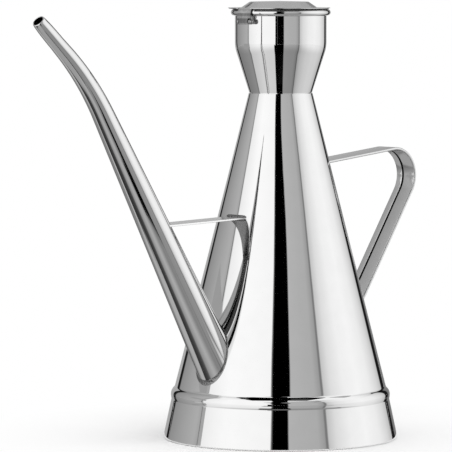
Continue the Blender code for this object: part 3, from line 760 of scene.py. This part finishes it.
weld_skin = bmesh.new()
weld_rings = []
middle = outside[0].translation.lerp(outside[1].translation, 0.5)
for step in range(WELD_STEPS + 1):
    turn = pi / 2 * step / WELD_STEPS
    widen = 1 - sin(turn)
    stand_off = WELD_HEIGHT * (1 - cos(turn))
    points, edges = circle(weld_skin, outside[0], SPOUT_SIDES)
    seat_ring(points, outside[0], outside[1])
    for vert in points:
        pooled = max(0, (SPOUT_FOOT_HEIGHT - vert.co.z) / (2 * SPOUT_FOOT_RADIUS)) ** 2
        sideways = vert.co - middle
        sideways -= sideways.project(SPOUT_UP)
        vert.co += sideways.normalized() * (WELD_WIDTH + WELD_POOL * pooled) * widen
        far_point = vert.co + SPOUT_UP * SPOUT_FOOT_RADIUS
        vert.co -= SPOUT_UP * SPOUT_FOOT_RADIUS
        seat_on_cone(vert, far_point, stand_off * (1 + pooled))
    weld_rings.append(edges)
root = outside[0] @ Matrix.Diagonal((WELD_ROOT, WELD_ROOT, 1, 1))
points, edges = circle(weld_skin, root, SPOUT_SIDES)
seat_ring(points, outside[0], outside[1], -SHEET / 4)
weld_rings.append(edges)
for first, second in zip(weld_rings, weld_rings[1:] + weld_rings[:1]):
    bmesh.ops.bridge_loops(weld_skin, edges=first + second)
face_out(weld_skin)
weld = make_piece("spout_fillet", weld_skin,
                  steel("brazing metal", 0.36, 0.26, 0.0004, SOLID, 0.16, 0.22, 900.0))
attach(weld, "vessel")


# Brace
# A flat strip of steel sheet that steadies the spout. It is cut hollow at both ends to fit the spout
# and the cone, and brazed to both. Its underside is painted dark, as painted shade under the strip.

BRACE_HEIGHT = 0.1008
BRACE_SLOPE = radians(1.5)
BRACE_WIDTH = 0.0120
BRACE_SHEET = 0.0008
BRACE_BITE = 0.0001
BRACE_EDGE = 0.00015
SEAT_ENDS = (0.05, 0.14)
SOLDER_RADIUS = 0.0008
SOLDER_STEPS = 40
SOLDER_SIDES = 12
SOLDER_UNEVEN = 0.10
SOLDER_WAVE = 1.9
SOLDER_END_DRAW = 0.6

cone_end = -cone_radius(BRACE_HEIGHT)
spout_end = (-cone_radius(SPOUT_FOOT_HEIGHT)
             + (SPOUT_FOOT_HEIGHT - BRACE_HEIGHT) * tan(SPOUT_LOWER_ANGLE))
near_end = cone_end + OVERRUN
middle = (near_end + spout_end) / 2
strip = bmesh.new()
place = Matrix.Translation((middle, 0, BRACE_HEIGHT + (middle - cone_end) * tan(BRACE_SLOPE)))
bmesh.ops.create_cube(strip, size=1, matrix=place @ Matrix.Rotation(-BRACE_SLOPE, 4, "Y")
                      @ Matrix.Diagonal((near_end - spout_end, BRACE_WIDTH, BRACE_SHEET, 1)))
long_edges = [e for e in strip.edges if abs((e.verts[0].co - e.verts[1].co).x) > BRACE_WIDTH]
break_edges(strip, BRACE_EDGE, 3, long_edges)
strip = combine(strip, frustum("cone_seat", *((0, 0, z) for z in SEAT_ENDS),
                               *(cone_radius(z, -BRACE_BITE) for z in SEAT_ENDS), AROUND))
run_ends = (outside[0], outside[len(SPOUT_RUN_SHARES) + 1])
strip = combine(strip, frustum("spout_seat", *(end.translation for end in run_ends),
                               *(end.to_scale().x - BRACE_BITE for end in run_ends), SPOUT_SIDES))
# The strip's steel is lighter than the other sheet: painted light, for the bright spout reflected in it.
strip_lay = ((0.02, 1, 1), 0)
brace = make_piece("spout_brace_polished", strip, steel("brace steel", 0.90, 0.22, 0.00002, strip_lay))
brace.data.materials.append(steel("brace underside painted shade", 0.26, 0.32, 0.00002, strip_lay))
# Faces that look downwards take the dark steel: painted shade under the strip.
for polygon in brace.data.polygons:
    if polygon.normal.z < -0.5:
        polygon.material_index = 1
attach(brace, "vessel")
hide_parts("spout_brace")

solder_steel = steel("solder", 0.26, 0.28, 0.0006, SOLID, 0.16, 0.16, 900.0)
for side, end in ((1, "upper"), (-1, "lower")):
    run = bmesh.new()
    solder_frames = []
    level = BRACE_HEIGHT + side * (BRACE_SHEET / 2 + SOLDER_RADIUS / 4)
    widest = asin(BRACE_WIDTH / 2 / cone_radius(level))
    for step in range(SOLDER_STEPS + 1):
        share = 1 - 2 * step / SOLDER_STEPS
        swell = 1 + SOLDER_UNEVEN * sin(SOLDER_WAVE * step) - SOLDER_END_DRAW * abs(share) ** 8
        swell *= SOLDER_RADIUS
        angle = widest * share
        outwards = Vector((-cos(angle), sin(angle), 0))
        place = outwards * cone_radius(level) + Vector((0, 0, level))
        solder_frames.append(Matrix.Translation(place) @ Matrix.Rotation(-angle, 4, "Z")
                             @ Matrix.Rotation(pi / 2, 4, "X")
                             @ Matrix.Diagonal((swell, swell, 1, 1)))
    run_start = circle(run, solder_frames[0], SOLDER_SIDES)
    _, run_end = extrude_through(run, run_start, solder_frames)
    bmesh.ops.contextual_create(run, geom=run_start[1])
    bmesh.ops.contextual_create(run, geom=run_end)
    face_out(run)
    solder = make_piece("brace_solder_" + end, run, solder_steel)
    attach(solder, "vessel")


# Handle
# A strap folded flat from steel sheet, so that its two hems meet in a seam along the inner side. It
# is bent once into a loop, and both ends are cut to the cone and brazed.

HANDLE_TOP_HEIGHT = 0.12375
HANDLE_RISE = radians(6.0)
HANDLE_REACH = 0.0460
HANDLE_BEND_RADIUS = 0.01275
HANDLE_RETURN_ANGLE = radians(33.5)
HANDLE_WIDTH = 0.0118
HANDLE_THICKNESS = 0.0013
SEAM_WIDTH = 0.0012
SEAM_DEPTH = 0.0009
SEAM_OFFSET = 0.00165
SEAM_END = 0.0195
SEAM_FADE = 0.0008
SEAM_LIP = 0.25
SEAM_WALL = 0.4
HEM_SINK = 0.06
BEND_STEPS = 48
BEFORE_BEND = (0, 0.3, 0.45, 0.6, 0.75, 0.9, 1)
AFTER_BEND = (0.15, 0.35, 0.5)
RINGS_PAST_SEAM = 3

start = (cone_radius(HANDLE_TOP_HEIGHT) - OVERRUN, HANDLE_TOP_HEIGHT - OVERRUN * tan(HANDLE_RISE),
         HANDLE_RISE)
line = [ahead(start, (HANDLE_REACH + OVERRUN) * share) for share in BEFORE_BEND]
turn = -(HANDLE_RISE + pi / 2 + HANDLE_RETURN_ANGLE)
line += round_bend(line[-1], HANDLE_BEND_RADIUS, turn, BEND_STEPS)
x, z, _ = bend_end = line[-1]
closing = sin(HANDLE_RETURN_ANGLE) + CONE_TAPER * cos(HANDLE_RETURN_ANGLE)
to_cone = (x - cone_radius(z)) / closing
seam_end = to_cone - SEAM_END
distances = [to_cone * share for share in AFTER_BEND]
distances += [seam_end - SEAM_FADE, seam_end, to_cone - SEAM_END / 2, to_cone + 2 * OVERRUN]
line += [ahead(bend_end, distance) for distance in distances]
strap_frames = [tube_frame(*station) for station in line]

half = HANDLE_THICKNESS / 2
fold_y = HANDLE_WIDTH / 2 - half
far_fold = arc((0, fold_y), half, 0, pi, 12)
near_fold = arc((0, -fold_y), half, pi, tau, 12)
seam_near, seam_far = SEAM_OFFSET - SEAM_WIDTH / 2, SEAM_OFFSET + SEAM_WIDTH / 2
lip = SEAM_WIDTH * SEAM_LIP
wall = lip * SEAM_WALL
groove = [(half, seam_near - lip, 0), (half, seam_near, HEM_SINK), (half, seam_near + wall, 1),
          (half, seam_far - wall, 1), (half, seam_far, HEM_SINK), (half, seam_far + lip, 0)]
strap = bmesh.new()
depth = strap.verts.layers.float.new("seam_depth")
section = []
rows = [(a, b, 0) for a, b in near_fold] + groove + [(a, b, 0) for a, b in far_fold]
for inwards, across, sunk in rows:
    vert = strap.verts.new(strap_frames[0] @ Vector((inwards, across, 0)))
    vert[depth] = sunk
    section.append(vert)
section_edges = [strap.edges.new(pair) for pair in zip(section, section[1:] + section[:1])]
strap_rings, last_edges = extrude_through(strap, (section, section_edges), strap_frames)
for ring_points, station in zip(strap_rings[:-RINGS_PAST_SEAM], strap_frames):
    outwards = -(station.to_3x3() @ Vector((1, 0, 0)))
    for vert in ring_points:
        vert.co += outwards * SEAM_DEPTH * vert[depth]
seat_ring(strap_rings[0], strap_frames[0], strap_frames[1], -BRACE_BITE)
seat_ring(strap_rings[-1], strap_frames[-1], strap_frames[-2], -BRACE_BITE)
for face in strap.faces:
    if sum(vert[depth] for vert in face.verts) > 1:
        face.material_index = 1
bmesh.ops.contextual_create(strap, geom=section_edges)
bmesh.ops.contextual_create(strap, geom=last_edges)
face_out(strap)
strap_lay = ((1, 0.6, 0.05), radians(30))
handle = make_piece("handle_strap_folded", strap,
                    steel("strap steel", 0.75, 0.13, 0.00003, strap_lay, 0.12, 0.10))
handle.data.materials.append(steel("seam shade", 0.05, 0.55, 0.00002, SOLID, 0.10, 0.04))
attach(handle, "vessel")
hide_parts("handle_strap")


# Studio
# A pale floor under soft light. Panels stand round the table, white, grey and black, outside the
# picture. Only the polished metal sees them, and they draw its bright and dark bands.

CAMERA_BEARING = radians(-134.5)
SCREEN_DISTANCE = 1.5
SCREEN_HEIGHT = 1.7
SCREEN_FOOT = 0.002
TABLE_EDGE = 0.056
TABLE_LEVEL = 0.001
CARD_DISTANCE = 1.45
CARD_LEVEL = 0.0015
FLOOR_REACH = 3.0
FLOOR_FADE = (0.057, 0.15)
WORLD_LEVEL = 0.85
LAMP_WIDTH = 1.2
LAMP_POWER = 9.0
LAMP_PLACE = Vector((-0.5, -0.9, 1.6))
LAMP_AIM = Vector((0, 0, 0.1))
SENSOR_WIDTH = 36
LENS = 303.40
CAMERA_PLACE = (-1.203349, -1.224537, 0.215509)
CAMERA_TURN = (radians(86.011), 0, radians(-43.6786))
BRIGHTEST = 1.1
STEEL_LOSS = 1.125

# Tones round the screen, by degrees to the right of the camera as the cruet sees it.
SCREEN_TONES = ((-180, 0.42), (-151.5, 0.40), (-150.7, 0.01), (-142.3, 0.01), (-141.7, 0.28),
                (-95, 0.47), (-90, 0.42), (-89, 0.12), (-87.5, 0.12), (-87, 0.94), (-60, 1.08),
                (-45, 1.07), (-10.2, 1.03), (-9.8, 0.0), (8.7, 0.0), (9.1, 0.50), (38, 0.46),
                (45, 0.36), (45.5, 0.20), (48, 0.22), (48.5, 0.60), (58, 0.81), (75, 0.98),
                (95, 1.03), (115, 0.945), (132, 0.74), (142, 0.55), (142.8, 0.01), (153.5, 0.01),
                (155, 0.18), (168, 0.24), (180, 0.42))
# In the table's painted reflection of them, the black part is wider on the left.
SHEEN_TONES = (*SCREEN_TONES[:12], (-16.4, 1.03), (-16, 0.0), (7.4, 0.0), (7.8, 0.50),
               *SCREEN_TONES[16:])
# The same for the table close to the cruet, with a painted shadow of the spout: the dark wedge under it.
TABLE_PAINTED_SHADOW_TONES = ((-180, 0.40), (-110, 0.42), (-67.5, 0.48), (-66, 0.035), (-58, 0.045), (-52, 0.065),
               (-47, 0.11), (-44.5, 0.30), (-36, 0.40), (-29, 0.47), (-24, 0.44), (-18, 0.36),
               (-12, 0.28), (-7, 0.25), (0, 0.27), (20, 0.285), (48, 0.28), (60, 0.36), (110, 0.40),
               (180, 0.36))
# Farther out the spout's painted shadow is wider.
FAR_TABLE_PAINTED_SHADOW_TONES = (*TABLE_PAINTED_SHADOW_TONES[:2], (-77, 0.48), (-75.5, 0.03), (-66, 0.035), *TABLE_PAINTED_SHADOW_TONES[4:])
FAR_TABLE = (0.13, 0.18)
STEEP_TONE = 0.375
STEEP = (0.10, 0.16)

# How the screen's black cloth leans with height: between two heights, from one number of degrees to
# another. Bearings are shares of a full turn here, with the camera at a half.
LEAN = (0.70, 0.87)
LEAN_END = (0.90, 1.0, 8.0, 0.0)
LEFT_EDGE = (0.50, 0.64, -1.2, 0.0)
RIGHT_EDGE = (0.52, 0.62, 1.0, -2.0)
RIGHT_EDGE_END = (0.76, 0.84, 1.0, 0.0)
LEAN_BEARINGS = (1 / 3, 0.57)

# Where the table's glow is a painted reflection of the screen: where it is seen flatly, and sooner in a
# ring and beyond a distance. Flatness runs from 0, seen from straight above, to 1, seen edge on.
FLAT = (0.45, 0.54)
RING_START, RING_END, RING_FLAT = (0.175, 0.20), (0.225, 0.24), (0.345, 0.37)
OUTER_START, OUTER_FLAT = (0.19, 0.21), (0.37, 0.40)
DIMMING = (0.50, 0.97, 0.66, 1.0)
CONTRAST = 1.15
# Where it mirrors the cruet too: close to it, and wherever it is seen almost edge on.
POLISHED_FLAT, POLISHED_END, EDGE_ON = (0.54, 0.66), (0.13, 0.16), (0.80, 0.88)
TABLE_COLOUR = 0.86


def glowing(name, tone=None):
    """A material that only gives light, its nodes, and the socket for its strength."""
    material, tree = new_material(name.replace("_", " "))
    tree.nodes.clear()
    light = add_node(tree, "Emission")
    tree.links.new(light.outputs[0], add_node(tree, "OutputMaterial").inputs["Surface"])
    if tone is not None:
        light.inputs["Strength"].default_value = tone * STEEL_LOSS
    return material, tree, light.inputs["Strength"]


def put_up(name, shape, paint, turn=0):
    """A panel that only the polished metal sees."""
    made = object_from(name, shape)
    made.data.materials.append(paint)
    made.rotation_euler = (0, 0, turn)
    for ray in ("camera", "diffuse", "shadow", "transmission", "volume_scatter"):
        setattr(made, "visible_" + ray, False)


def blended(tree, share, first, second):
    return add_node(tree, "Mix", {"Factor": share, "A": first, "B": second}).outputs["Result"]


def cover(tree, share, first, second):
    """Gives the material the first surface, and the second where the share is 1."""
    mix = add_node(tree, "MixShader", {0: share, 1: first.outputs[0], 2: second.outputs[0]})
    tree.links.new(mix.outputs[0], tree.nodes["Material Output"].inputs["Surface"])


def leaning(tree, place, bearing):
    """The bearing, moved with height: the black cloth leans left higher up, and is widest midway."""
    height = add_node(tree, "SeparateXYZ", {0: place}).outputs["Z"]
    first, last = LEAN_BEARINGS
    high = times(tree, math_node(tree, "POWER", between(tree, height, *LEAN, way="LINEAR"), 2),
                 between(tree, height, *LEAN_END))
    right = times(tree, between(tree, height, *RIGHT_EDGE), between(tree, height, *RIGHT_EDGE_END),
                  math_node(tree, "LESS_THAN", bearing, last))
    left = between(tree, height, *LEFT_EDGE)
    edge = blended(tree, math_node(tree, "GREATER_THAN", bearing, 0.5), left, right)
    swing = times(tree, math_node(tree, "ADD", high, edge),
                  math_node(tree, "GREATER_THAN", bearing, first))
    return math_node(tree, "ADD", bearing, math_node(tree, "DIVIDE", swing, 360))


def tones_round(tree, tones, leans=False):
    """A tone that changes with the bearing round the cruet."""
    place = add_node(tree, "TexCoord").outputs["Object"]
    bearing = add_node(tree, "TexGradient", {"Vector": place}, gradient_type="RADIAL").outputs["Fac"]
    if leans:
        bearing = leaning(tree, place, bearing)
    stops = [((degrees + 180) / 360, tone / BRIGHTEST) for degrees, tone in tones]
    return times(tree, tone_ramp(tree, bearing, stops), BRIGHTEST * STEEL_LOSS)


def distance_from_axis(tree):
    place = add_node(tree, "TexCoord").outputs["Object"]
    return add_node(tree, "VectorMath", {0: place}, operation="LENGTH").outputs["Value"]


def screen(name, profile, left, right, paint):
    """A profile (outwards, up) turned round the cruet between two bearings."""
    shape = bmesh.new()
    points = [shape.verts.new((out, 0, up)) for out, up in profile]
    for pair in zip(points, points[1:]):
        shape.edges.new(pair)
    width = right - left
    bmesh.ops.rotate(shape, verts=shape.verts, matrix=Matrix.Rotation(radians(left), 3, "Z"))
    bmesh.ops.spin(shape, geom=shape.verts[:] + shape.edges[:], axis=(0, 0, 1),
                   angle=radians(width), steps=max(8, round(width)), use_merge=width >= 360)
    put_up(name, shape, paint, CAMERA_BEARING)


paint, tree, strength = glowing("screen cloth")
tree.links.new(tones_round(tree, SCREEN_TONES, leans=True), strength)
upright = ((SCREEN_DISTANCE, SCREEN_FOOT), (SCREEN_DISTANCE, SCREEN_HEIGHT))
screen("round_screen", upright, -180, 180, paint)

paint, tree, strength = glowing("table sheen")
flatness = add_node(tree, "LayerWeight", {"Blend": 0.5}).outputs["Facing"]
distance = distance_from_axis(tree)
# The screen's tones, dimmed as the table is seen more steeply: a painted reflection in the table's glow.
painted_reflection = times(tree, math_node(tree, "POWER", tones_round(tree, SHEEN_TONES), CONTRAST),
                 between(tree, flatness, *DIMMING))
ring = times(tree, between(tree, distance, *RING_START), between(tree, distance, *RING_END, 1.0, 0.0),
             between(tree, flatness, *RING_FLAT))
outer = times(tree, between(tree, distance, *OUTER_START), between(tree, flatness, *OUTER_FLAT))
share = math_node(tree, "MAXIMUM", math_node(tree, "MAXIMUM", ring, outer),
                  between(tree, flatness, *FLAT))
# Close to the cruet the table glows in its own tones, with the spout's painted shadow in them.
plain = blended(tree, between(tree, distance, *FAR_TABLE), tones_round(tree, TABLE_PAINTED_SHADOW_TONES),
                tones_round(tree, FAR_TABLE_PAINTED_SHADOW_TONES))
plain = blended(tree, between(tree, flatness, *STEEP), STEEP_TONE * STEEL_LOSS, plain)
tree.links.new(blended(tree, share, plain, painted_reflection), strength)
close = times(tree, between(tree, flatness, *POLISHED_FLAT),
              between(tree, distance, *POLISHED_END, 1.0, 0.0))
polished = add_node(tree, "BsdfPrincipled",
                    {"Base Color": grey(TABLE_COLOUR), "Metallic": 1, "Roughness": 0})
close = math_node(tree, "MAXIMUM", close, between(tree, flatness, *EDGE_ON))
cover(tree, close, tree.nodes["Emission"], polished)
screen("table_sheen", ((TABLE_EDGE, TABLE_LEVEL), (SCREEN_DISTANCE, TABLE_LEVEL)), -180, 180, paint)

# Cards in front of the screen: profile (outwards, up), bearings and tone.
for name, profile, left, right, tone in (
        ("back_high_grey", ((CARD_DISTANCE, 0.95), (CARD_DISTANCE, SCREEN_HEIGHT)), 138, 222, 0.42),
        ("back_left_dark", ((CARD_DISTANCE, 0.72), (CARD_DISTANCE, 1.0)), -164, -155, 0.03),
        ("back_floor_white", ((0.36, CARD_LEVEL), (1.4, CARD_LEVEL), (1.4, 0.10)), 170, 188, 0.95),
        ("left_low_grey", ((CARD_DISTANCE, 0.21), (CARD_DISTANCE, 0.45)), -88.5, -84.2, 0.42),
        ("slot_foot", ((1.4, CARD_LEVEL), (1.4, 0.22)), -13.2, -8.8, 0.0),
        ("slot_table", ((0.185, CARD_LEVEL), (0.225, CARD_LEVEL)), -15, -9.5, 0.0),
        ("handle_card", ((0.35, 0.09), (0.35, 0.15)), -105, -84, 0.36)):
    screen(name, profile, left, right, glowing(name, tone)[0])

# Level panels over the table, as seen from the camera: front, back, left and right edge from the
# axis, height and tone.
for name, front, back, left, right, height, tone in (
        ("overhead_gap", 0.30, -0.17, -0.85, 0.80, 1.68, 0.0),
        ("overhead_slot", 1.5, 0.30, -0.26, 0.23, 1.68, 0.0),
        ("overhead_gap_left", 1.09, 0.30, -0.85, -0.2, 1.68, 0.0),
        ("overhead_gap_right", 1.09, 0.30, 0.2, 0.80, 1.68, 0.06),
        ("overhead_grey", -0.17, -1.7, -1.7, 1.7, 1.69, 0.46),
        ("overhead_white", 2.6, -2.6, -2.6, 2.6, 1.8, 1.0)):
    shape = bmesh.new()
    bmesh.ops.create_grid(shape, x_segments=1, y_segments=1, size=0.5,
                          matrix=Matrix.Rotation(CAMERA_BEARING + pi / 2, 4, "Z")
                          @ Matrix.Translation(((left + right) / 2, -(front + back) / 2, height))
                          @ Matrix.Diagonal((right - left, front - back, 1, 1)))
    put_up(name, shape, glowing(name, tone)[0])

# The floor: paper that takes the cruet's shadow, and fades into plain white.
shape = bmesh.new()
bmesh.ops.create_circle(shape, cap_ends=True, segments=96, radius=FLOOR_REACH)
floor = object_from("floor", shape)
paper, tree = new_material("floor paper")
sheet = tree.nodes["Principled BSDF"]
for socket, value in (("Base Color", grey(0.97)), ("Roughness", 0.9), ("Specular IOR Level", 0)):
    sheet.inputs[socket].default_value = value
cover(tree, between(tree, distance_from_axis(tree), *FLOOR_FADE, way="LINEAR"), sheet,
      add_node(tree, "Emission", {"Color": grey(1)}))
floor.data.materials.append(paper)

world = bpy.data.worlds.new("studio")
world.use_nodes = True
tree = world.node_tree
tree.nodes["Background"].inputs["Color"].default_value = grey(1)
rays = add_node(tree, "LightPath").outputs
seen = math_node(tree, "MAXIMUM", rays["Is Camera Ray"],
                 math_node(tree, "MAXIMUM", rays["Is Glossy Ray"], rays["Is Transmission Ray"]))
level = math_node(tree, "ADD", times(tree, seen, 1 - WORLD_LEVEL), WORLD_LEVEL)
tree.links.new(level, tree.nodes["Background"].inputs["Strength"])
bpy.context.scene.world = world

lamp_data = bpy.data.lights.new("soft lamp", "AREA")
lamp_data.shape = "DISK"
lamp_data.size = LAMP_WIDTH
lamp_data.energy = LAMP_POWER
lamp = in_scene("soft_lamp", lamp_data)
lamp.location = LAMP_PLACE
lamp.rotation_euler = (LAMP_AIM - LAMP_PLACE).to_track_quat("-Z", "Y").to_euler()
lamp.visible_glossy = False

camera_data = bpy.data.cameras.new("studio camera")
camera_data.sensor_width = SENSOR_WIDTH
camera_data.lens = LENS
camera = in_scene("studio_camera", camera_data)
camera.location = CAMERA_PLACE
camera.rotation_euler = CAMERA_TURN
bpy.context.scene.camera = camera
bpy.context.scene.view_settings.view_transform = "Standard"
